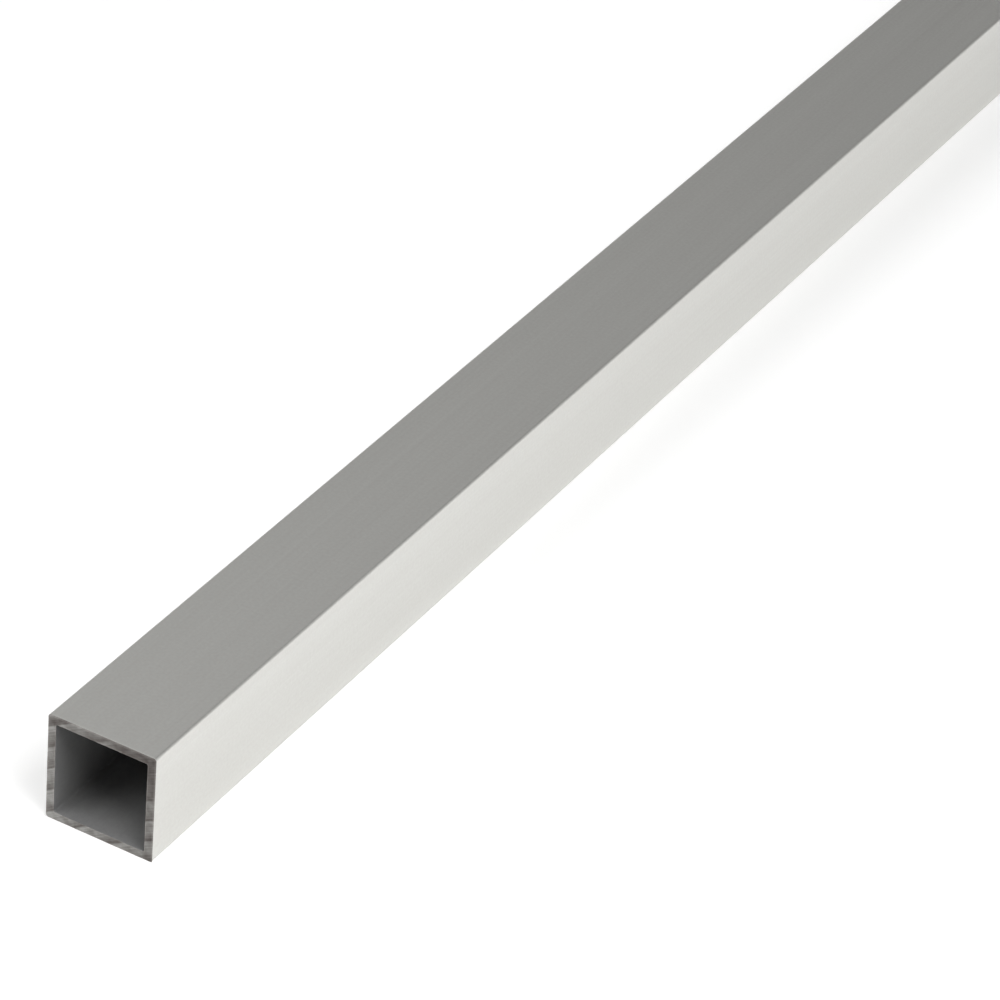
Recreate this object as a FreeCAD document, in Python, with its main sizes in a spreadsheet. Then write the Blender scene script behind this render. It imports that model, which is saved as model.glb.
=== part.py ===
# Square tube of extruded aluminium, one length of stock: a hollow section with crisp outer
# corners and tighter inner ones, sawn square at both ends and lightly deburred.
# The frame has +Z up and +Y along the tube. Its origin is on the floor, under the tube's middle.
import FreeCAD, Part
import Sketcher
import math
import os

PARTS_FOLDER = "parts"
NODE_NAME = "square_tube"
SHEET = "Dimensions"

# Driving dimensions: name, size in millimetres, what it is on the tube.
DRIVING_DIMENSIONS = [
    ("outer_side", 20.0, "side of the section, over the outer faces"),
    ("wall", 1.5, "thickness of each of the four walls"),
    ("outer_corner_radius", 0.5, "rounding of the long outer edges"),
    ("inner_corner_radius", 0.3, "rounding of the long inner corners"),
    ("stock_length", 1000.0, "length over both saw cuts"),
    ("outer_deburr", 0.2, "bevel that breaks the outer edge of each cut"),
    ("inner_deburr", 0.1, "bevel that breaks the inner edge of each cut"),
]

# How a sketch names the two ends of a line or an arc, its origin point and its horizontal axis.
START, END = 1, 2
ORIGIN_POINT = (-1, 1)
HORIZONTAL_AXIS = -1

QUARTER_TURN = math.pi / 2


def make_sheet(doc):
    """The spreadsheet of driving dimensions: meaning in column A, size in column B."""
    sheet = doc.addObject("Spreadsheet::Sheet", SHEET)
    for row, (name, size, meaning) in enumerate(DRIVING_DIMENSIONS, start=1):
        sheet.set(f"A{row}", meaning)
        sheet.set(f"B{row}", str(size))
        sheet.setAlias(f"B{row}", name)
    doc.recompute()
    return sheet


def sketch_plane(body, role):
    """One of the body's own origin planes, found by its role."""
    return next(plane for plane in body.Origin.OriginFeatures if plane.Role == role)


def add_size(sketch, name, formula, kind, *where):
    """A named dimension of the sketch, bound to the spreadsheet. It is added at its present
    length, so that the sketch stays solved until the sheet drives it."""
    constraint = sketch.addConstraint(Sketcher.Constraint(kind, *where))
    sketch.renameConstraint(constraint, name)
    sketch.setExpression("Constraints." + name, formula)


def draw_rounded_square(sketch, half, foot, radius):
    """Draws one closed loop, a square with four equal rounded corners that stands at height
    foot, and returns its lines by side and the arc that its radius is given on."""
    head = foot + 2 * half
    low, high, reach = foot + radius, head - radius, half - radius
    centres = [(reach, low), (reach, high), (-reach, high), (-reach, low)]
    arcs = []
    angle = -QUARTER_TURN
    for across, up in centres:
        circle = Part.Circle(FreeCAD.Vector(across, up), FreeCAD.Vector(0, 0, 1), radius)
        arcs.append(sketch.addGeometry(Part.ArcOfCircle(circle, angle, angle + QUARTER_TURN)))
        angle += QUARTER_TURN

    lines = []
    for before, after in zip([arcs[-1]] + arcs[:-1], arcs):
        line = Part.LineSegment(sketch.getPoint(before, END), sketch.getPoint(after, START))
        lines.append(sketch.addGeometry(line))
        sketch.addConstraint(Sketcher.Constraint("Tangent", before, END, lines[-1], START))
        sketch.addConstraint(Sketcher.Constraint("Tangent", lines[-1], END, after, START))

    bottom, right, top, left = lines
    for level in (bottom, top):
        sketch.addConstraint(Sketcher.Constraint("Horizontal", level))
    for upright in (right, left):
        sketch.addConstraint(Sketcher.Constraint("Vertical", upright))
    for arc in arcs[1:]:
        sketch.addConstraint(Sketcher.Constraint("Equal", arcs[0], arc))
    return {"bottom": bottom, "right": right, "top": top, "left": left, "arc": arcs[0]}


def draw_section(body, sheet):
    """The extrusion's cross-section, as its die cuts it: the outer square stands on the floor
    line, and the inner one lies a wall's thickness inside it on every side."""
    sketch = body.newObject("Sketcher::SketchObject", "Section")
    sketch.AttachmentSupport = [(sketch_plane(body, "XZ_Plane"), "")]
    sketch.MapMode = "FlatFace"

    half, wall = sheet.outer_side / 2, sheet.wall
    outer = draw_rounded_square(sketch, half, 0, sheet.outer_corner_radius)
    inner = draw_rounded_square(sketch, half - wall, wall, sheet.inner_corner_radius)

    add_size(sketch, "outer_corner_radius", f"{SHEET}.outer_corner_radius",
             "Radius", outer["arc"], sheet.outer_corner_radius)
    add_size(sketch, "outer_width", f"{SHEET}.outer_side",
             "DistanceX", outer["left"], START, outer["right"], START, 2 * half)
    add_size(sketch, "outer_height", f"{SHEET}.outer_side",
             "DistanceY", outer["bottom"], START, outer["top"], START, 2 * half)
    add_size(sketch, "centre_to_right", f"{SHEET}.outer_side / 2",
             "DistanceX", *ORIGIN_POINT, outer["right"], START, half)
    sketch.addConstraint(
        Sketcher.Constraint("PointOnObject", outer["bottom"], START, HORIZONTAL_AXIS)
    )

    add_size(sketch, "inner_corner_radius", f"{SHEET}.inner_corner_radius",
             "Radius", inner["arc"], sheet.inner_corner_radius)
    add_size(sketch, "left_wall", f"{SHEET}.wall",
             "DistanceX", outer["left"], START, inner["left"], START, wall)
    add_size(sketch, "right_wall", f"{SHEET}.wall",
             "DistanceX", inner["right"], START, outer["right"], START, wall)
    add_size(sketch, "bottom_wall", f"{SHEET}.wall",
             "DistanceY", outer["bottom"], START, inner["bottom"], START, wall)
    add_size(sketch, "top_wall", f"{SHEET}.wall",
             "DistanceY", inner["top"], START, outer["top"], START, wall)
    return sketch


def extrude(body, section):
    """The section pushed along the tube, half of the stock length each way."""
    pad = body.newObject("PartDesign::Pad", "Extrusion")
    pad.Profile = section
    pad.SideType = "Symmetric"
    pad.setExpression("Length", f"{SHEET}.stock_length")
    section.Document.recompute()
    return pad


def rim_edges(shape, inside):
    """Names of the edges round both sawn faces, either those of the outer rim or those of the
    hollow. A sawn face looks along the tube, and it is the only kind with a hole in it."""
    rims = []
    for face in shape.Faces:
        holes = [wire for wire in face.Wires if not wire.isSame(face.OuterWire)]
        if holes:
            rims += holes if inside else [face.OuterWire]
    wanted = [edge for rim in rims for edge in rim.Edges]
    return [
        f"Edge{number}"
        for number, edge in enumerate(shape.Edges, start=1)
        if any(edge.isSame(other) for other in wanted)
    ]


def deburr(body, before, name, inside, size_name):
    """Breaks one rim of each cut with a small equal bevel."""
    bevel = body.newObject("PartDesign::Chamfer", name)
    bevel.Base = (before, rim_edges(before.Shape, inside))
    bevel.ChamferType = "Equal distance"
    bevel.setExpression("Size", f"{SHEET}.{size_name}")
    body.Document.recompute()
    return bevel


def make_square_tube(doc, sheet):
    """The whole tube as one solid: section, extrusion, then the two deburred rims."""
    body = doc.addObject("PartDesign::Body", "SquareTube")
    body.Label = NODE_NAME
    section = draw_section(body, sheet)
    tube = extrude(body, section)
    tube = deburr(body, tube, "OuterDeburr", False, "outer_deburr")
    tube = deburr(body, tube, "InnerDeburr", True, "inner_deburr")
    body.Tip = tube
    return body


def check(doc, parts):
    """Stops before anything is written if a feature failed or a solid isn't sound."""
    failed = [item.Name for item in doc.Objects if {"Invalid", "Error"} & set(item.State)]
    if failed:
        raise RuntimeError(f"these features failed: {failed}")
    for part in parts:
        if part.Shape.isNull() or not part.Shape.isValid() or len(part.Shape.Solids) != 1:
            raise RuntimeError(f"{part.Label} isn't one sound solid")


def main():
    doc = FreeCAD.newDocument("SquareTubeStock")
    sheet = make_sheet(doc)
    parts = [make_square_tube(doc, sheet)]
    doc.recompute()
    check(doc, parts)

    os.makedirs(PARTS_FOLDER, exist_ok=True)
    for part in parts:
        part.Shape.exportStep(os.path.join(PARTS_FOLDER, part.Label + ".step"))
        box = part.Shape.BoundBox
        print(f"{part.Label}: {box.XLength:.2f} x {box.YLength:.2f} x {box.ZLength:.2f} mm,"
              f" {part.Shape.Volume / 1000:.2f} cm3, {len(part.Shape.Faces)} faces")


main()
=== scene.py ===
# %% [markdown]
# # A length of square aluminium tube
#
# This lesson dresses one piece of workshop stock: a 1 m length of extruded square tube with a
# satin anodised skin, sawn off at both ends. Its construction is finished already, as a CAD
# model. Here it gets what a photograph would show of it: rounded long edges, the saw's marks
# across the bare cut ends, the grain of the anodised faces, and a dark hollow.
#
# Everything is in metres, and the tube lies along Y with +Z up, as in the CAD model. Sizes on
# the section are easier to read in millimetres, so they are written that way and multiplied by
# MM where a mesh or a material takes them.

# %% Load the frame
import math
import random

import bmesh
import bpy
import numpy as np
from mathutils import Matrix, Vector


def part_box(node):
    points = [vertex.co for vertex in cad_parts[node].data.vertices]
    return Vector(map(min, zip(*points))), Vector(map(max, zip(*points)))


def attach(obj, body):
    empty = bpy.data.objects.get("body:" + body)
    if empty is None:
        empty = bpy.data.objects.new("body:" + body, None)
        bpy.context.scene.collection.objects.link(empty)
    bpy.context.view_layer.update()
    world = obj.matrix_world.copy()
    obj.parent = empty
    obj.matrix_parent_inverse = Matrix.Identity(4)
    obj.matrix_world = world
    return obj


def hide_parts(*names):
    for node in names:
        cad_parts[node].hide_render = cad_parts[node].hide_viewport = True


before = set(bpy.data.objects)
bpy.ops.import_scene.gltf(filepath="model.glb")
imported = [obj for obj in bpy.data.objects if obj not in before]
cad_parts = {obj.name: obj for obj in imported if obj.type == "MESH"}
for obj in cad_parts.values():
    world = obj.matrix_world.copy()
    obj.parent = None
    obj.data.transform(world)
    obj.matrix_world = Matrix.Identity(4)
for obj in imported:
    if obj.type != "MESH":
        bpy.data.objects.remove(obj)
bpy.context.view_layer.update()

MM = 0.001
low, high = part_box("square_tube")
SIDE = high[0] - low[0]
LENGTH = high[1] - low[1]
print(f"tube: {SIDE / MM:.1f} mm square, {LENGTH / MM:.0f} mm long")

# %% [markdown]
# ## Where the camera stands
#
# A camera can be placed by eye, or worked out from edges that can be measured in the photograph.
# The long edges of a square tube are parallel, so the way they close in on each other gives the
# distance, and the tilt of the cut end gives the angles. The answer is a long lens from three
# quarters of a metre away: 167 mm, looking down at 34 degrees, 27 degrees round from the tube's
# axis, and turned 5 degrees about its own line of sight.

# %% Camera
CAMERA_PLACE = Vector((0.31176, -0.97594, 0.45025))
AZIMUTH, ELEVATION, ROLL = (math.radians(degrees) for degrees in (27.443, 33.868, 5.345))
LENS_MM = 166.8
SENSOR_MM = 36.0
NEAREST, FARTHEST = 0.05, 60.0

forward = Vector((
    -math.sin(AZIMUTH) * math.cos(ELEVATION),
    math.cos(AZIMUTH) * math.cos(ELEVATION),
    -math.sin(ELEVATION),
))
level_right = forward.cross(Vector((0, 0, 1))).normalized()
level_down = forward.cross(level_right)
right = level_right * math.cos(ROLL) - level_down * math.sin(ROLL)
up = -forward.cross(right)

camera = bpy.data.objects.new("camera", bpy.data.cameras.new("camera"))
camera.data.lens = LENS_MM
camera.data.sensor_width = SENSOR_MM
camera.data.clip_start = NEAREST
camera.data.clip_end = FARTHEST
turn = Matrix((right, up, -forward)).transposed()
camera.matrix_world = Matrix.Translation(CAMERA_PLACE) @ turn.to_4x4()
bpy.context.collection.objects.link(camera)
bpy.context.scene.camera = camera
print("camera looks along", [round(part, 3) for part in forward])

# %% [markdown]
# ## Two helpers for materials
#
# Colours are easiest to write as the hex values that a colour picker shows. Blender reckons with
# linear light, so one function turns a hex value to linear. The other adds one node to a
# material, sets its options, and fills its sockets: a socket given another node's output is
# linked to it, and any other value is typed in. Where the node is a colour ramp, it also sets
# the stops of the ramp.

# %% Colour and node helpers
def linear(hex_colour):
    """The linear colour of an sRGB hex value such as "#DEDEDA"."""
    channels = [int(hex_colour[i:i + 2], 16) / 255 for i in (1, 3, 5)]
    curved = [c / 12.92 if c <= 0.04045 else ((c + 0.055) / 1.055) ** 2.4 for c in channels]
    return curved + [1.0]


def add_node(tree, kind, sockets=None, stops=(), **options):
    """Adds a node of that kind to the tree and returns it. Each stop is a place and a colour."""
    made = tree.nodes.new(kind)
    for name, value in options.items():
        setattr(made, name, value)
    for socket, value in (sockets or {}).items():
        if isinstance(value, bpy.types.NodeSocket):
            tree.links.new(value, made.inputs[socket])
        else:
            made.inputs[socket].default_value = value
    # A new ramp has two stops already.
    for _ in stops[2:]:
        made.color_ramp.elements.new(0.5)
    for number, (at, colour) in enumerate(stops):
        made.color_ramp.elements[number].position = at
        made.color_ramp.elements[number].color = colour
    return made


print("white is", linear("#FFFFFF"), "and mid grey is", round(linear("#808080")[0], 3))

# %% [markdown]
# ## A white floor that keeps the shadow
#
# The tube lies on a plain white sweep, as in a product studio. A very bright lamp would burn the
# floor out to white, but it would burn out the metal too. So the lamps stay at a plain level,
# and the floor adds some light of its own, only for rays that come from the camera or from a
# reflection. Away from the tube the floor then shows as white, and close under it the lamps'
# shadow still takes some light away. Its rim curves up far behind the tube, so that low views
# have the same white behind them.

# %% Floor
FLOOR_RADIUS = 12.0
RIM_HEIGHT = 1.6
RIM_RUN = 3.0
# Steps up the rim, points round the floor, and the radius of its inner rings.
RIM_STEPS = 8
AROUND = 96
FLAT_RINGS = (0.4, 2.0)

flat_radius = FLOOR_RADIUS - RIM_RUN
profile = [(radius, 0.0) for radius in FLAT_RINGS + (flat_radius,)]
for step in range(1, RIM_STEPS + 1):
    angle = math.radians(90 * step / RIM_STEPS)
    profile.append((
        flat_radius + RIM_RUN * math.sin(angle),
        RIM_HEIGHT * (1 - math.cos(angle)),
    ))
floor_points = [(0.0, 0.0, 0.0)]
for radius, height in profile:
    for step in range(AROUND):
        angle = 2 * math.pi * step / AROUND
        floor_points.append((radius * math.cos(angle), radius * math.sin(angle), height))
floor_faces = [(0, 1 + step, 1 + (step + 1) % AROUND) for step in range(AROUND)]
for ring in range(len(profile) - 1):
    inside = 1 + ring * AROUND
    outside = inside + AROUND
    for step in range(AROUND):
        after = (step + 1) % AROUND
        floor_faces.append((inside + step, outside + step, outside + after, inside + after))

floor_mesh = bpy.data.meshes.new("studio_floor")
floor_mesh.from_pydata(floor_points, [], floor_faces)
floor_mesh.shade_smooth()
floor = bpy.data.objects.new("studio_floor", floor_mesh)
bpy.context.collection.objects.link(floor)
print("floor: radius", FLOOR_RADIUS, "m, rim", RIM_HEIGHT, "m high")

# %% [markdown]
# The floor's paper is matt: it scatters light evenly and mirrors nothing. Its own light is added
# to that. At a strength of 1 the glow alone would be white and would drown the shadow, so it
# only makes up what the lamps leave wanting.

# %% Matt white paper
PAPER_COLOUR = "#E8E8E8"
OWN_LIGHT = 0.35

paper = bpy.data.materials.new("matt_white_paper")
paper.use_nodes = True
tree = paper.node_tree
tree.nodes.clear()
ray = add_node(tree, "ShaderNodeLightPath")
seen = add_node(tree, "ShaderNodeMath", {
    0: ray.outputs["Is Camera Ray"], 1: ray.outputs["Is Glossy Ray"]}, operation="MAXIMUM")
seen = add_node(tree, "ShaderNodeMath", {
    0: seen.outputs[0], 1: ray.outputs["Is Transmission Ray"]}, operation="MAXIMUM")
strength = add_node(tree, "ShaderNodeMath", {0: seen.outputs[0], 1: OWN_LIGHT},
                    operation="MULTIPLY")
matt = add_node(tree, "ShaderNodeBsdfDiffuse", {"Color": linear(PAPER_COLOUR)})
glow = add_node(tree, "ShaderNodeEmission", {
    "Color": linear("#FFFFFF"), "Strength": strength.outputs[0]})
both = add_node(tree, "ShaderNodeAddShader", {0: matt.outputs[0], 1: glow.outputs[0]})
add_node(tree, "ShaderNodeOutputMaterial", {"Surface": both.outputs[0]})
floor_mesh.materials.append(paper)
print("paper:", PAPER_COLOUR, "with", OWN_LIGHT, "of its own light")

# %% [markdown]
# ## A room for the metal to mirror
#
# Metal has no colour of its own to show: a face of the tube looks as bright as what it mirrors,
# and a satin face mirrors a wide blurred part of the room. A photographed room could be wrapped
# round the scene, but it would bring in far more than these plain faces need. Here the room is
# one dark grey with three pale patches, as from pieces of white card.
#
# Seen from this camera the right face mirrors the white floor, and it's the lightest. The top
# face mirrors the room behind and to the left of the tube, so the first patch is there, and its
# soft edge gives the slow change from light to dark along the tube. The rounded edge between
# those two faces mirrors the room behind and to the right, and the other two patches keep it
# from showing as a dark line.
#
# A patch is the dot product of a direction with the patch's own direction, raised to a power: 1
# in the middle, and fading to almost nothing 40 degrees away.

# %% The room
ROOM_GREY = 0.08
PATCH_POWER = 12.0
# The direction that a patch lies in, and its strength.
PALE_PATCHES = [
    ((-0.55, 0.42, 0.72), 0.79),
    ((0.18, 0.74, 0.65), 0.25),
    ((0.64, 0.74, 0.20), 0.78),
]

world = bpy.data.worlds.new("studio_room")
world.use_nodes = True
tree = world.node_tree
tree.nodes.clear()
direction = add_node(tree, "ShaderNodeTexCoord")
light = add_node(tree, "ShaderNodeValue")
light.outputs[0].default_value = ROOM_GREY
for toward, level in PALE_PATCHES:
    facing = add_node(tree, "ShaderNodeVectorMath", {
        0: direction.outputs["Generated"], 1: Vector(toward).normalized()},
        operation="DOT_PRODUCT")
    facing = add_node(tree, "ShaderNodeMath", {0: facing.outputs["Value"], 1: 0.0},
                      operation="MAXIMUM")
    patch = add_node(tree, "ShaderNodeMath", {0: facing.outputs[0], 1: PATCH_POWER},
                     operation="POWER")
    light = add_node(tree, "ShaderNodeMath", {
        0: patch.outputs[0], 1: level, 2: light.outputs[0]}, operation="MULTIPLY_ADD")
room = add_node(tree, "ShaderNodeBackground", {
    "Color": linear("#FFFFFF"), "Strength": light.outputs[0]})
add_node(tree, "ShaderNodeOutputWorld", {"Surface": room.outputs[0]})
bpy.context.scene.world = world

# The Standard view shows each colour as it is written.
bpy.context.scene.view_settings.view_transform = "Standard"
print("room:", ROOM_GREY, "and", len(PALE_PATCHES), "pale patches")

# %% [markdown]
# ## Soft studio light
#
# Three lamps do the lighting. Two are like large windows a long way off, one in front to the left
# and one to the right: a sun lamp with a wide angle gives such light, soft and as strong at the
# far end of the tube as at the near one. The left one also shines slantwise into the hollow.
#
# The third is a small softbox, half a metre from the sawn end and above it to the right. Light
# from so near falls off along the tube, so that its faces slowly darken as they run away from
# the cut.

# %% Lamps
def add_window(name, toward, angle, strength):
    """A distant soft lamp, in the direction toward as seen from the tube."""
    lamp = bpy.data.objects.new(name, bpy.data.lights.new(name, "SUN"))
    lamp.data.angle = math.radians(angle)
    lamp.data.energy = strength
    lamp.rotation_euler = (-Vector(toward)).to_track_quat("-Z", "Y").to_euler()
    bpy.context.collection.objects.link(lamp)
    return lamp


def add_softbox(name, place, target, size, power):
    """A square area lamp, aimed at a point. The camera doesn't see it."""
    lamp = bpy.data.objects.new(name, bpy.data.lights.new(name, "AREA"))
    lamp.data.shape = "SQUARE"
    lamp.data.size = size
    lamp.data.energy = power
    lamp.location = place
    aim = Vector(target) - Vector(place)
    lamp.rotation_euler = aim.to_track_quat("-Z", "Y").to_euler()
    lamp.visible_camera = False
    bpy.context.collection.objects.link(lamp)
    return lamp


lamps = [
    add_window("window_front_left", toward=(-0.574, -0.526, 0.628), angle=45, strength=1.54),
    add_window("window_right", toward=(0.579, -0.178, 0.795), angle=40, strength=0.80),
    add_softbox("softbox_near_end", place=(0.255, -0.60, 0.405), target=(0.0, -0.58, 0.0),
                size=0.255, power=1.05),
]
print("lamps:", [(lamp.name, round(lamp.data.energy, 2)) for lamp in lamps])

# %% [markdown]
# ## The section of the tube
#
# An extrusion keeps one section along its whole length, so the tube starts from two outlines:
# the outer square with corners of 0.5 mm radius, and the hollow with corners of 0.3 mm. Both are
# walked round with the same number of points, so that point 40 of one lies straight across the
# wall from point 40 of the other. A fine pair of outlines is for the sawn ends, where small
# detail shows, and a coarse pair with the same corners is for the long plain walls.
#
# Next to each corner stands one extra point on the flat side. Smooth shading blends the direction
# of the faces that meet at a point, and this point keeps the blend inside the corner, so that
# the flat sides stay flat to the eye.
#
# Each point also gets its place round the section, a number that grows by 1 from one corner to
# the next. It lets a fine ring be joined to a coarse one later.

# %% Section outlines
# In mm, as in the CAD model.
WALL = 1.5
OUTER_HALF, OUTER_RADIUS = SIDE / MM / 2, 0.5
INNER_HALF, INNER_RADIUS = OUTER_HALF - WALL, 0.3
# Faces round a corner, and along the flat side between two corners.
CORNER_STEPS = 8
FINE_SIDE, COARSE_SIDE = 80, 8
# Where the extra point stands, as a share of the flat side.
GUARD = 0.003
# How much of the 1 for a corner and its side the corner takes, and the place after all four.
CORNER_PLACE = 0.2
ALL_ROUND = 4.0


def rounded_square(half, radius, side_steps):
    """Points (x, z) in mm round a square that is centred on 0, from its lower right corner.
    Also the place of each point as a number, 0 to 4 over the four corners with their sides."""
    shares = [GUARD] + [step / side_steps for step in range(1, side_steps)] + [1 - GUARD]
    outline, places = [], []
    for quarter in range(4):
        start = -math.pi / 2 + quarter * math.pi / 2
        centre = complex(half - radius, -(half - radius)) * 1j ** quarter
        for step in range(CORNER_STEPS + 1):
            angle = start + math.pi / 2 * step / CORNER_STEPS
            outline.append(centre + radius * complex(math.cos(angle), math.sin(angle)))
            places.append(quarter + CORNER_PLACE * step / CORNER_STEPS)
        corner_end = outline[-1]
        side = 2 * (half - radius) * 1j ** (quarter + 1)
        for share in shares:
            outline.append(corner_end + side * share)
            places.append(quarter + CORNER_PLACE + (1 - CORNER_PLACE) * share)
    return np.array([(point.real, point.imag) for point in outline]), np.array(places)


fine_outer, fine_places = rounded_square(OUTER_HALF, OUTER_RADIUS, FINE_SIDE)
fine_inner, _ = rounded_square(INNER_HALF, INNER_RADIUS, FINE_SIDE)
coarse_outer, coarse_places = rounded_square(OUTER_HALF, OUTER_RADIUS, COARSE_SIDE)
coarse_inner, _ = rounded_square(INNER_HALF, INNER_RADIUS, COARSE_SIDE)
print("points round the section:", len(fine_outer), "fine,", len(coarse_outer), "coarse")

# %% [markdown]
# ## What the saw left
#
# A circular saw cuts the stock, and its teeth leave curved steps across the wall: arcs about the
# centre of the blade. In the photograph the arcs run up to the right on the cut end, 3.5 mm
# apart, and they fit a blade whose centre is 73 mm to the right of the tube's middle and 121 mm
# below its underside. Each step is a few hundredths of a millimetre high. The metal rises slowly
# and drops at once, as the teeth left it, so a sawtooth wave of the distance from that centre
# gives its height. The far end was cut on the same saw, so it has the same arcs a little
# shifted.

# %% Saw relief
# The blade's centre, in mm from the middle of the tube's underside.
BLADE_X, BLADE_Z = 72.7, -121.0
# From there to the sharp edge of a step, from step to step, and a step's height, all in mm.
FIRST_STEP = 140.2
STEP_PITCH = 3.53
STEP_DEPTH = 0.03
FAR_SHIFT = 1.4


def saw_step(x, z, far):
    """Depth of the sawn face in mm, below the plane of the cut, at x, z in mm."""
    distance = np.hypot(x - BLADE_X, z - BLADE_Z) + (FAR_SHIFT if far else 0.0)
    wave = np.mod((distance - FIRST_STEP) / STEP_PITCH, 1.0)
    return STEP_DEPTH * (1.0 - wave)


middle_depth = float(saw_step(0.0, SIDE / MM - WALL / 2, far=False))
print("depth in the middle of the top wall:", round(middle_depth, 3), "mm")

# %% [markdown]
# ## The tube as one closed mesh
#
# The tube could be a square with an inset, extruded and given a bevel modifier. That gives no say
# in where the points lie across the sawn faces, so the rings of points are laid one by one: round
# the outer edge of the cut, which is broken by a deburring tool, across the sawn wall, round the
# inner edge, and down the hollow. Each ring is a blend of the outer outline and the inner one.
#
# Each face remembers which finish it takes, by its number in the mesh's list of materials.

# %% Mesh lists and bands
verts, faces, face_uvs, face_slots, rim_marks = [], [], [], [], []
OUTSIDE, SAWN, HOLLOW = 0, 1, 2


def add_ring(outline, depth, far, rim):
    """Adds the points of one closed ring and returns their numbers. depth is in mm from the
    plane of the cut into the tube; it is one number, or one for each point. rim is 1 for a ring
    on a broken edge of the cut."""
    depths = np.broadcast_to(depth, len(outline))
    first = len(verts)
    for (x, z), inward in zip(outline, depths):
        y = (LENGTH / 2 - inward * MM) * (1 if far else -1)
        verts.append((x * MM, y, (z + OUTER_HALF) * MM))
        rim_marks.append(rim)
    return list(range(first, len(verts)))


def add_face(corners, uvs, slot):
    """Adds one face, with the place of each corner on the texture."""
    faces.append(corners)
    face_uvs.append(uvs)
    face_slots.append(slot)


def add_band(ring_a, ring_b, uv_a, uv_b, slot):
    """Joins two rings of equal length with four-sided faces. Each uv list has one entry more
    than its ring, for the last face to close on."""
    count = len(ring_a)
    for i in range(count):
        j = (i + 1) % count
        add_face((ring_a[i], ring_a[j], ring_b[j], ring_b[i]),
                 (uv_a[i], uv_a[i + 1], uv_b[i + 1], uv_b[i]), slot)


def add_zip(fine, coarse, uv_fine, uv_coarse, slot):
    """Joins a fine ring to a coarse one with triangles, taking the next point from whichever
    ring is behind in its place round the section."""
    fine_at = list(fine_places) + [ALL_ROUND]
    coarse_at = list(coarse_places) + [ALL_ROUND]
    i = j = 0
    while i < len(fine) or j < len(coarse):
        next_i, next_j = (i + 1) % len(fine), (j + 1) % len(coarse)
        fine_middle = (fine_at[i] + fine_at[i + 1]) / 2 if i < len(fine) else math.inf
        coarse_middle = (coarse_at[j] + coarse_at[j + 1]) / 2 if j < len(coarse) else math.inf
        if fine_middle <= coarse_middle:
            add_face((fine[i], fine[next_i], coarse[j % len(coarse)]),
                     (uv_fine[i], uv_fine[i + 1], uv_coarse[j]), slot)
            i += 1
        else:
            add_face((fine[i % len(fine)], coarse[next_j], coarse[j]),
                     (uv_fine[i], uv_coarse[j + 1], uv_coarse[j]), slot)
            j += 1


print("a closed ring of the end has", len(fine_outer), "points")

# %% [markdown]
# ## The map's layout
#
# The mesh gets its own UV map. The walls are hundreds of times longer than they are thick, and
# an automatic map would leave the sawn ends a few dots of the texture each. Here the walls take
# two long strips, and each end gets a square as large as its detail needs.
#
# The texture is a square, 1024 dots a side for the largest piece of an export. From left to
# right: the outer walls unrolled, 79 mm in 320 dots; the hollow's walls, 67 mm in 136 dots; and
# the two ends at 24 dots to a millimetre, one over the other. Along the tube a millimetre gets
# one dot, which is enough for marks that run lengthwise.

# %% UV layout
DOTS = 1024.0
WALL_STRIP = (6.0, 326.0)
HOLLOW_STRIP = (340.0, 476.0)
LENGTH_DOTS = (8.0, 1016.0)
END_CENTRES = {False: (760.0, 256.0), True: (760.0, 768.0)}
END_DOTS_PER_MM = 24.0


def around_mm(outline):
    """Distance walked round an outline up to each of its points, and the whole way round."""
    closed = np.vstack([outline, outline[:1]])
    return np.concatenate([[0.0], np.cumsum(np.hypot(*np.diff(closed, axis=0).T))])


def strip_uv(outline, strip, depth, far):
    """UV of a ring that goes round a wall, at that depth in mm from the cut."""
    walked = around_mm(outline)
    along = 1 - depth / (LENGTH / MM) if far else depth / (LENGTH / MM)
    v = (LENGTH_DOTS[0] + (LENGTH_DOTS[1] - LENGTH_DOTS[0]) * along) / DOTS
    u = (strip[0] + (strip[1] - strip[0]) * walked / walked[-1]) / DOTS
    return [(float(value), v) for value in u]


def end_uv(outline, spread, far):
    """UV of a ring on a sawn end. spread pushes the rings of the broken edges apart, in mm."""
    closed = np.vstack([outline, outline[:1]])
    reach = np.abs(closed).max(axis=1, keepdims=True)
    closed = closed * (reach + spread) / reach
    centre = END_CENTRES[far]
    return [((centre[0] + x * END_DOTS_PER_MM) / DOTS, (centre[1] + z * END_DOTS_PER_MM) / DOTS)
            for x, z in closed]


print("the outer walls are", round(around_mm(fine_outer)[-1], 2), "mm round")

# %% [markdown]
# ## Rims and burrs
#
# A freshly sawn edge is sharp enough to cut a hand, so it is broken with a deburring tool: here
# by 0.12 mm on the outside and 0.04 mm on the inside, rounded in three steps. Such a rim is never
# quite even, because the teeth push a small burr over the edge and the tool takes only most of it
# away again. A few hundredths of a millimetre of seeded noise on the rings of the rims is enough
# for a glint that comes and goes along the edge.
#
# At the lower right corner the burr is larger, as it is where a blade leaves the metal. It fills
# the rounding of the corner, so that this corner looks sharper than the other three. Each point
# near it moves part of its way to the corner of a true square, which keeps the flat sides flat.

# %% Rims and burrs
# Sizes in mm.
OUTER_BREAK, INNER_BREAK = 0.12, 0.04
BURR = 0.02
CORNER_BURR_WIDTH = 0.5
# How much of its way to the true corner a point moves there.
CORNER_BURR_SHARE = 0.8
BREAK_STEPS = 3
# Points that the noise is smoothed over.
SMOOTHING = 5
random.seed(20)


def wavy(count):
    """The burr's height in mm at each point of a ring: random steps, smoothed over a few
    neighbours and then doubled, because smoothing flattens them."""
    raw = np.array([random.uniform(-1.0, 1.0) for _ in range(count)])
    half = SMOOTHING // 2
    smooth = sum(np.roll(raw, shift) for shift in range(-half, half + 1)) / SMOOTHING
    return BURR * smooth * 2


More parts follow.
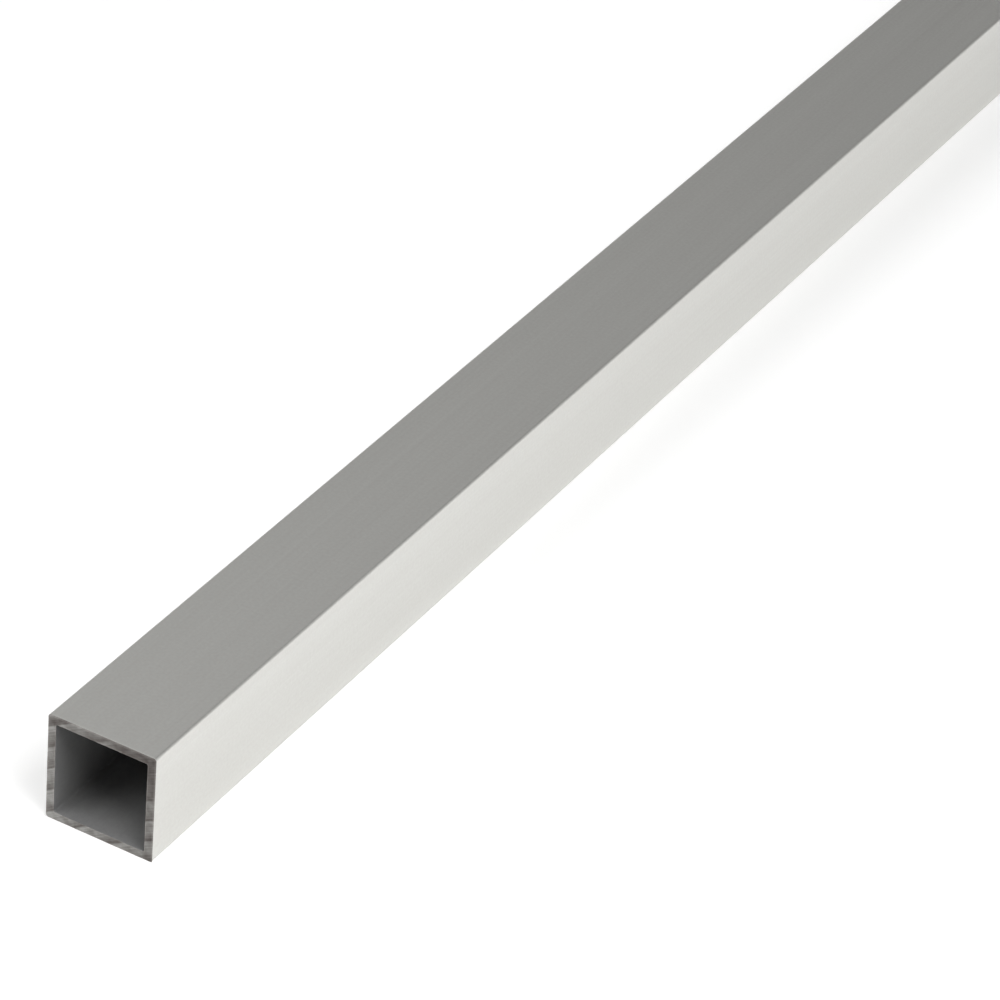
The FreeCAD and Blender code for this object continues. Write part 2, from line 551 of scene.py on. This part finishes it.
def with_corner_burr(outline):
    """The outline with its lower right corner filled out by the burr."""
    to_corner = np.array([OUTER_HALF, -OUTER_HALF]) - outline
    near = np.exp(-(np.hypot(*to_corner.T) / CORNER_BURR_WIDTH) ** 2)
    return outline + to_corner * (CORNER_BURR_SHARE * near)[:, None]


moved = np.hypot(*(with_corner_burr(fine_outer) - fine_outer).T)
print("the corner burr moves the outline by up to", round(float(moved.max()), 3), "mm")

# %% [markdown]
# ## The sawn ends
#
# An end is a list of rings from the outer wall to the hollow. For each the list gives how far it
# lies in from the outer face, how deep it lies under the plane of the cut, and whether it is on a
# rim. The saw's steps run across the flat of the wall and die out round the rims, so the first
# and last ring still fit the walls. No point may stand out past the plane of the cut, because
# the length over both cuts is the tube's size.

# %% Sawn ends
# Bands across the flat of the sawn wall.
ACROSS = 7
EDGE_ANGLES = [math.radians(90 * step / BREAK_STEPS) for step in range(BREAK_STEPS + 1)]


def end_rings_in_mm():
    """For each ring of an end: inset, depth, how far the map pushes it outward, and rim."""
    rings = []
    for angle in EDGE_ANGLES:
        inset = OUTER_BREAK * (1 - math.cos(angle))
        depth = OUTER_BREAK * (1 - math.sin(angle))
        rings.append((inset, depth, depth - inset, 1.0))
    start, stop = OUTER_BREAK, WALL - INNER_BREAK
    for step in range(1, ACROSS):
        rings.append((start + (stop - start) * step / ACROSS, 0.0, 0.0, 0.0))
    for angle in EDGE_ANGLES:
        inset = WALL - INNER_BREAK * (1 - math.sin(angle))
        depth = INNER_BREAK * (1 - math.cos(angle))
        rings.append((inset, depth, -depth, 1.0))
    return rings


def add_end(far):
    """Makes one sawn end. Returns its outermost and innermost ring."""
    rings = end_rings_in_mm()
    made = []
    for number, (inset, depth, spread, rim) in enumerate(rings):
        across = inset / WALL
        outline = with_corner_burr(fine_outer * (1 - across) + fine_inner * across)
        on_wall = number in (0, len(rings) - 1)
        relief = saw_step(outline[:, 0], outline[:, 1] + OUTER_HALF, far)
        share = 0.0 if on_wall else 1.0 - depth / OUTER_BREAK
        burr = wavy(len(outline)) if rim and not on_wall else 0.0
        depths = np.maximum(depth + relief * share + burr, 0.0)
        made.append((add_ring(outline, depths, far, rim), end_uv(outline, spread, far)))
    for (ring_a, uv_a), (ring_b, uv_b) in zip(made, made[1:]):
        add_band(ring_a, ring_b, uv_a, uv_b, SAWN)
    return made[0][0], made[-1][0]


end_rings = {far: add_end(far) for far in (False, True)}
print("points on the two ends:", len(verts))

# %% [markdown]
# ## The long walls
#
# The walls start from the fine rings of the ends. A short band keeps the fine spacing, the next
# one closes up to the coarse spacing, and from there rows of long faces run to the other end.
# One row would do for a straight wall, but faces a metre long and a tenth of a millimetre wide,
# as at the corners, can shade unevenly.

# %% Long walls
# Where the two bands end, in mm from the cut.
FINE_BAND = 0.4
ZIP_BAND = 3.0
ROWS = 24


def add_wall(inner):
    """The outer wall, or the hollow's, from one end to the other."""
    fine, coarse = (fine_inner, coarse_inner) if inner else (fine_outer, coarse_outer)
    strip, slot = (HOLLOW_STRIP, HOLLOW) if inner else (WALL_STRIP, OUTSIDE)
    edge_depth = INNER_BREAK if inner else OUTER_BREAK
    closed_up = {}
    for far in (False, True):
        edge = end_rings[far][1 if inner else 0]
        fine_ring = add_ring(fine, FINE_BAND, far, 0.0)
        coarse_ring = add_ring(coarse, ZIP_BAND, far, 0.0)
        fine_uv = strip_uv(fine, strip, FINE_BAND, far)
        coarse_uv = strip_uv(coarse, strip, ZIP_BAND, far)
        add_band(edge, fine_ring, strip_uv(fine, strip, edge_depth, far), fine_uv, slot)
        add_zip(fine_ring, coarse_ring, fine_uv, coarse_uv, slot)
        closed_up[far] = coarse_ring
    before, before_depth = closed_up[False], ZIP_BAND
    for row in range(1, ROWS + 1):
        depth = ZIP_BAND + (LENGTH / MM - 2 * ZIP_BAND) * row / ROWS
        ring = closed_up[True] if row == ROWS else add_ring(coarse, depth, False, 0.0)
        add_band(before, ring, strip_uv(coarse, strip, before_depth, False),
                 strip_uv(coarse, strip, depth, False), slot)
        before, before_depth = ring, depth


add_wall(inner=False)
add_wall(inner=True)
print("points:", len(verts), "faces:", len(faces))

# %% [markdown]
# ## From lists to a mesh
#
# The lists become a mesh. One attribute goes with it for the sawn finish: how far a point lies
# from a rim of the cut would be costly to work out in nodes, so the rims are simply marked.
#
# The faces were laid in different directions round the end and the walls. bmesh turns them all
# outward, and can tell at the same time whether the mesh is closed and how much metal it holds.
# Smooth shading is for the rounded edges; where faces meet at more than 40 degrees the edge
# stays sharp.

# %% Make the mesh
SHARP_FROM = math.radians(40)
CUBIC_METRE_IN_CM3 = 1e6

tube_mesh = bpy.data.meshes.new("square_tube_stock")
tube_mesh.from_pydata(verts, [], faces)
# The tube's own UV map.
uv_map = tube_mesh.uv_layers.new(name="OFBake")
uv_map.data.foreach_set("uv", [value for uvs in face_uvs for uv in uvs for value in uv])
rim_mark = tube_mesh.attributes.new("deburred_rim", "FLOAT", "POINT")
rim_mark.data.foreach_set("value", rim_marks)

work = bmesh.new()
work.from_mesh(tube_mesh)
bmesh.ops.recalc_face_normals(work, faces=work.faces)
open_edges = sum(1 for edge in work.edges if len(edge.link_faces) != 2)
volume = work.calc_volume() * CUBIC_METRE_IN_CM3
work.to_mesh(tube_mesh)
work.free()
tube_mesh.shade_smooth()
tube_mesh.set_sharp_from_angle(angle=SHARP_FROM)

tube = bpy.data.objects.new("square_tube_stock", tube_mesh)
bpy.context.collection.objects.link(tube)
print("open edges:", open_edges, " metal:", round(volume, 2), "cm3")

# %% [markdown]
# ## Satin anodised aluminium
#
# The faces were extruded, etched in caustic soda and anodised. The etch gives a fine even grain
# that spreads every reflection into a soft sheen, and the clear oxide over it keeps the silver
# colour, slightly warm. The die leaves very faint lines along the tube.
#
# The grain is noise in the object's own coordinates, which has no seam where the walls meet, and
# the lines are the same kind of noise, stretched along the tube. Together they shade the colour
# and the roughness, and the grain and the fine lines also have a little bump each. It is all
# metal: metallic 1, a roughness of about 0.4, and a base colour a little darker than raw
# aluminium.
#
# Real etch grain is about 0.05 mm and die lines lie about 0.1 mm apart, both too fine to show
# from here. They are drawn at 0.6 mm and 0.5 mm.

# %% Anodised finish
GRAIN_PER_MM = 1.7
LINES_PER_MM = 2.0
BROAD_LINES_PER_MM = 0.32
# A line is this many times longer than it is wide: 0.5 mm by 120 mm.
LINE_STRETCH = 240
GRAIN_SHARE, LINE_SHARE, BROAD_SHARE = 0.5, 0.3, 0.2
# In mm.
GRAIN_HEIGHT, LINE_HEIGHT = 0.04, 0.03
# Most of the mixed noise lies between these two values.
NOISE_LOW, NOISE_HIGH = 0.35, 0.65


def make_anodised(name, colours, roughness, line_bump, metallic):
    """An etched and anodised finish. colours and roughness are each a low and a high end."""
    finish = bpy.data.materials.new(name)
    finish.use_nodes = True
    tree = finish.node_tree
    tree.nodes.clear()
    place = add_node(tree, "ShaderNodeTexCoord")
    stretched = add_node(tree, "ShaderNodeMapping", {
        0: place.outputs["Object"], "Scale": (1.0, 1 / LINE_STRETCH, 1.0)})
    lines = add_node(tree, "ShaderNodeTexNoise", {
        "Vector": stretched.outputs[0], "Scale": LINES_PER_MM / MM, "Detail": 2.0})
    broad = add_node(tree, "ShaderNodeTexNoise", {
        "Vector": stretched.outputs[0], "Scale": BROAD_LINES_PER_MM / MM, "Detail": 1.0})
    grain = add_node(tree, "ShaderNodeTexNoise", {
        "Vector": place.outputs["Object"], "Scale": GRAIN_PER_MM / MM, "Detail": 3.0})
    mixed = add_node(tree, "ShaderNodeMath", {0: lines.outputs[0], 1: LINE_SHARE},
                     operation="MULTIPLY")
    mixed = add_node(tree, "ShaderNodeMath", {
        0: broad.outputs[0], 1: BROAD_SHARE, 2: mixed.outputs[0]}, operation="MULTIPLY_ADD")
    mixed = add_node(tree, "ShaderNodeMath", {
        0: grain.outputs[0], 1: GRAIN_SHARE, 2: mixed.outputs[0]}, operation="MULTIPLY_ADD")
    colour = add_node(tree, "ShaderNodeValToRGB", {0: mixed.outputs[0]}, stops=[
        (NOISE_LOW, linear(colours[0])), (NOISE_HIGH, linear(colours[1]))])
    rough = add_node(tree, "ShaderNodeMapRange", {
        0: mixed.outputs[0], "From Min": NOISE_LOW, "From Max": NOISE_HIGH,
        "To Min": roughness[0], "To Max": roughness[1]})
    grain_relief = add_node(tree, "ShaderNodeBump", {
        "Height": grain.outputs[0], "Strength": 0.25, "Distance": GRAIN_HEIGHT * MM})
    relief = add_node(tree, "ShaderNodeBump", {
        "Height": lines.outputs[0], "Strength": line_bump, "Distance": LINE_HEIGHT * MM,
        "Normal": grain_relief.outputs[0]})
    metal = add_node(tree, "ShaderNodeBsdfPrincipled", {
        "Base Color": colour.outputs[0], "Metallic": metallic,
        "Roughness": rough.outputs[0], "Normal": relief.outputs[0]})
    add_node(tree, "ShaderNodeOutputMaterial", {"Surface": metal.outputs[0]})
    return finish


# Etched and anodised: a soft silver sheen with no sharp reflection anywhere.
anodised = make_anodised(
    "satin_anodised_aluminium",
    colours=("#D3D2CE", "#DBDBD7"),
    roughness=(0.38, 0.43),
    line_bump=0.2,
    metallic=1.0,
)
print("finish:", anodised.name)

# %% [markdown]
# ## The hollow
#
# Inside the tube is the same extruded and anodised skin, but only the light that falls in at an
# end reaches it, and it loses some at each bounce. With the metal of the outer faces the hollow
# would show the bright opening again as long streaks, far down the tube. The real one shows
# none, and the light in it dies out evenly. So the same function makes a greyer and rougher
# finish with stronger die lines, that scatters about half of its light and mirrors the rest. Its
# grey is painted shade: the skin inside is only a little duller than outside, and the darker
# colour darkens the whole hollow.

# %% Hollow finish
# Anodised, with painted shade: a dull grey that darkens the hollow, with a hint of lengthwise
# lines.
hollow = make_anodised(
    "anodised_hollow_painted_shade",
    colours=("#8F8F8F", "#999999"),
    roughness=(0.45, 0.55),
    line_bump=0.5,
    metallic=0.45,
)
print("finish:", hollow.name)

# %% [markdown]
# ## Where the saw's bands lie
#
# The blade laid the metal bare across the cut. Each step of the saw shows as a band of painted
# light and shade: a painted highlight along its sharp edge, darkening down its slope to a painted
# shadow at the foot of the step. The bands could be drawn in an image, but the mesh already says
# where the steps are: nodes work out the same wave from the same blade's centre, so that the
# painted light and dark lie exactly on the relief.

# %% Saw bands
sawn = bpy.data.materials.new("bare_sawn_aluminium_with_painted_light")
sawn.use_nodes = True
tree = sawn.node_tree
tree.nodes.clear()
place = add_node(tree, "ShaderNodeTexCoord")
from_blade = add_node(tree, "ShaderNodeVectorMath", {
    0: place.outputs["Object"], 1: (BLADE_X * MM, 0.0, BLADE_Z * MM)}, operation="SUBTRACT")
in_cut_plane = add_node(tree, "ShaderNodeVectorMath", {
    0: from_blade.outputs[0], 1: (1.0, 0.0, 1.0)}, operation="MULTIPLY")
distance = add_node(tree, "ShaderNodeVectorMath", {0: in_cut_plane.outputs[0]},
                    operation="LENGTH")
split = add_node(tree, "ShaderNodeSeparateXYZ", {0: place.outputs["Object"]})
is_far = add_node(tree, "ShaderNodeMath", {0: split.outputs["Y"], 1: 0.0},
                  operation="GREATER_THAN")
shifted = add_node(tree, "ShaderNodeMath", {
    0: is_far.outputs[0], 1: FAR_SHIFT * MM, 2: distance.outputs["Value"]},
    operation="MULTIPLY_ADD")
past_first = add_node(tree, "ShaderNodeMath", {0: shifted.outputs[0], 1: FIRST_STEP * MM},
                      operation="SUBTRACT")
steps = add_node(tree, "ShaderNodeMath", {0: past_first.outputs[0], 1: STEP_PITCH * MM},
                 operation="DIVIDE")
wave = add_node(tree, "ShaderNodeMath", {0: steps.outputs[0]}, operation="FRACT")

# Painted light and shade of a band on its way from one sharp edge to the next: a painted shadow at
# the foot, a painted highlight just before the sharp edge.
STEP_LIGHT_AND_SHADE = [(0.0, 0.0), (0.2, 0.25), (0.4, 0.6), (0.8, 0.8), (0.93, 1.0), (1.0, 0.2)]
band_light_and_shade = add_node(tree, "ShaderNodeValToRGB", {0: wave.outputs[0]}, stops=[
    (at, (level, level, level, 1.0)) for at, level in STEP_LIGHT_AND_SHADE])
print("band tones:", len(STEP_LIGHT_AND_SHADE))

# %% [markdown]
# ## Uneven marks
#
# The marks aren't the same all over the cut. At the upper right corner there are no bands, as if
# the blade had only just gone in, so their painted light and shade fade out there. Towards the
# lower left the cut is a little lighter. Both depend on how far a point lies along the diagonal
# from lower left to upper right.
#
# Inside the bands run much finer arcs, one for each tooth, and here and there soft metal was
# smeared over them. The teeth's arcs are about 0.05 mm apart on the real cut, too fine to show.
# They are drawn 0.3 mm apart, and the smears are 1.5 mm across.

# %% Saw marks
# Along the diagonal, in mm from the tube's origin: where the bands fade out, and the lighter part.
DIAGONAL = (0.7, 0.0, 0.7)
BANDS_FADE = (14, 17)
LIGHTER_FADE = (-7, 12)
LIGHTER_LIFT = 0.10
TEETH_PER_MM = 3.5
SMEARS_PER_MM = 0.65
BAND_SHARE, SMEAR_SHARE, TEETH_SHARE = 0.28, 0.45, 0.25

diagonal = add_node(tree, "ShaderNodeVectorMath", {0: place.outputs["Object"], 1: DIAGONAL},
                    operation="DOT_PRODUCT")
bands_shown = add_node(tree, "ShaderNodeMapRange", {
    0: diagonal.outputs["Value"], "From Min": BANDS_FADE[0] * MM, "From Max": BANDS_FADE[1] * MM,
    "To Min": 1.0, "To Max": 0.0})
# The bands' painted light and shade, faded out towards the upper right.
shown_band_shading = add_node(tree, "ShaderNodeMath", {0: band_light_and_shade.outputs[0], 1: bands_shown.outputs[0]},
                  operation="MULTIPLY")
lighter_lower_left = add_node(tree, "ShaderNodeMapRange", {
    0: diagonal.outputs["Value"], "From Min": LIGHTER_FADE[0] * MM,
    "From Max": LIGHTER_FADE[1] * MM, "To Min": LIGHTER_LIFT, "To Max": 0.0})
teeth = add_node(tree, "ShaderNodeTexNoise", {
    "W": shifted.outputs[0], "Scale": TEETH_PER_MM / MM, "Detail": 3.0}, noise_dimensions="1D")
smears = add_node(tree, "ShaderNodeTexNoise", {
    "Vector": place.outputs["Object"], "Scale": SMEARS_PER_MM / MM, "Detail": 2.0})
# One tone of the marks: the bands' painted light and shade, lighter towards the lower left, then
# smears and teeth.
marks_and_band_shading = add_node(tree, "ShaderNodeMath", {
    0: shown_band_shading.outputs[0], 1: BAND_SHARE, 2: lighter_lower_left.outputs[0]}, operation="MULTIPLY_ADD")
marks_and_band_shading = add_node(tree, "ShaderNodeMath", {
    0: smears.outputs[0], 1: SMEAR_SHARE, 2: marks_and_band_shading.outputs[0]}, operation="MULTIPLY_ADD")
marks_and_band_shading = add_node(tree, "ShaderNodeMath", {
    0: teeth.outputs[0], 1: TEETH_SHARE, 2: marks_and_band_shading.outputs[0]}, operation="MULTIPLY_ADD")
print("marks: bands", BAND_SHARE, "smears", SMEAR_SHARE, "teeth", TEETH_SHARE)

# %% [markdown]
# ## Bare sawn aluminium
#
# All the marks, the bands' painted light and shade among them, are now one tone from dark to
# light, and four colours go along with it. The cut is browner and darker than the faces: partly
# its own smeared bare metal, partly painted shade on the sawn end. It is rougher than they are,
# most of all where it's dark. The broken rims were scraped after the cut, so a little clean bright
# metal is mixed in where the mesh marks a rim.

# %% Sawn finish
# From dark to light; the darkness is partly painted shade on the sawn end.
SAWN_COLOURS_WITH_SHADE = [(0.22, "#534C4A"), (0.42, "#706C69"), (0.58, "#84827F"), (0.72, "#9C9B98")]
SCRAPED_METAL = "#CFCBC6"
SCRAPED_SHARE = 0.15
# From a dark tone to a light one, and the roughness at each.
ROUGH_TONES = (0.3, 0.75)
ROUGHNESS = (0.68, 0.5)
# In mm.
TEETH_HEIGHT = 0.02

# Sawn and left bare: a dull grey brown, partly painted shade, with painted glints along its bands.
colour = add_node(tree, "ShaderNodeValToRGB", {0: marks_and_band_shading.outputs[0]}, stops=[
    (at, linear(hex_colour)) for at, hex_colour in SAWN_COLOURS_WITH_SHADE])
rim = add_node(tree, "ShaderNodeAttribute", attribute_name="deburred_rim")
scraped = add_node(tree, "ShaderNodeMath", {0: rim.outputs["Fac"], 1: SCRAPED_SHARE},
                   operation="MULTIPLY")
bright = add_node(tree, "ShaderNodeMix", {
    "Factor": scraped.outputs[0], "A": colour.outputs[0], "B": linear(SCRAPED_METAL)},
    data_type="RGBA")
rough = add_node(tree, "ShaderNodeMapRange", {
    0: marks_and_band_shading.outputs[0], "From Min": ROUGH_TONES[0], "From Max": ROUGH_TONES[1],
    "To Min": ROUGHNESS[0], "To Max": ROUGHNESS[1]})
relief = add_node(tree, "ShaderNodeBump", {
    "Height": teeth.outputs[0], "Strength": 0.6, "Distance": TEETH_HEIGHT * MM})
metal = add_node(tree, "ShaderNodeBsdfPrincipled", {
    "Base Color": bright.outputs["Result"], "Metallic": 1.0,
    "Roughness": rough.outputs[0], "Normal": relief.outputs[0]})
add_node(tree, "ShaderNodeOutputMaterial", {"Surface": metal.outputs[0]})
print("finish:", sawn.name)

# %% [markdown]
# ## Putting the finishes on
#
# The finishes go on the mesh in the order of the numbers that its faces remember. The tube is one
# rigid piece, so it rides on the only body, and it stands for the plain solid of the CAD model.

# %% Put the finishes on
for finish in (anodised, sawn, hollow):
    tube_mesh.materials.append(finish)
tube_mesh.polygons.foreach_set("material_index", face_slots)

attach(tube, "root")
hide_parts("square_tube")
print("triangles:", sum(len(face) - 2 for face in faces))
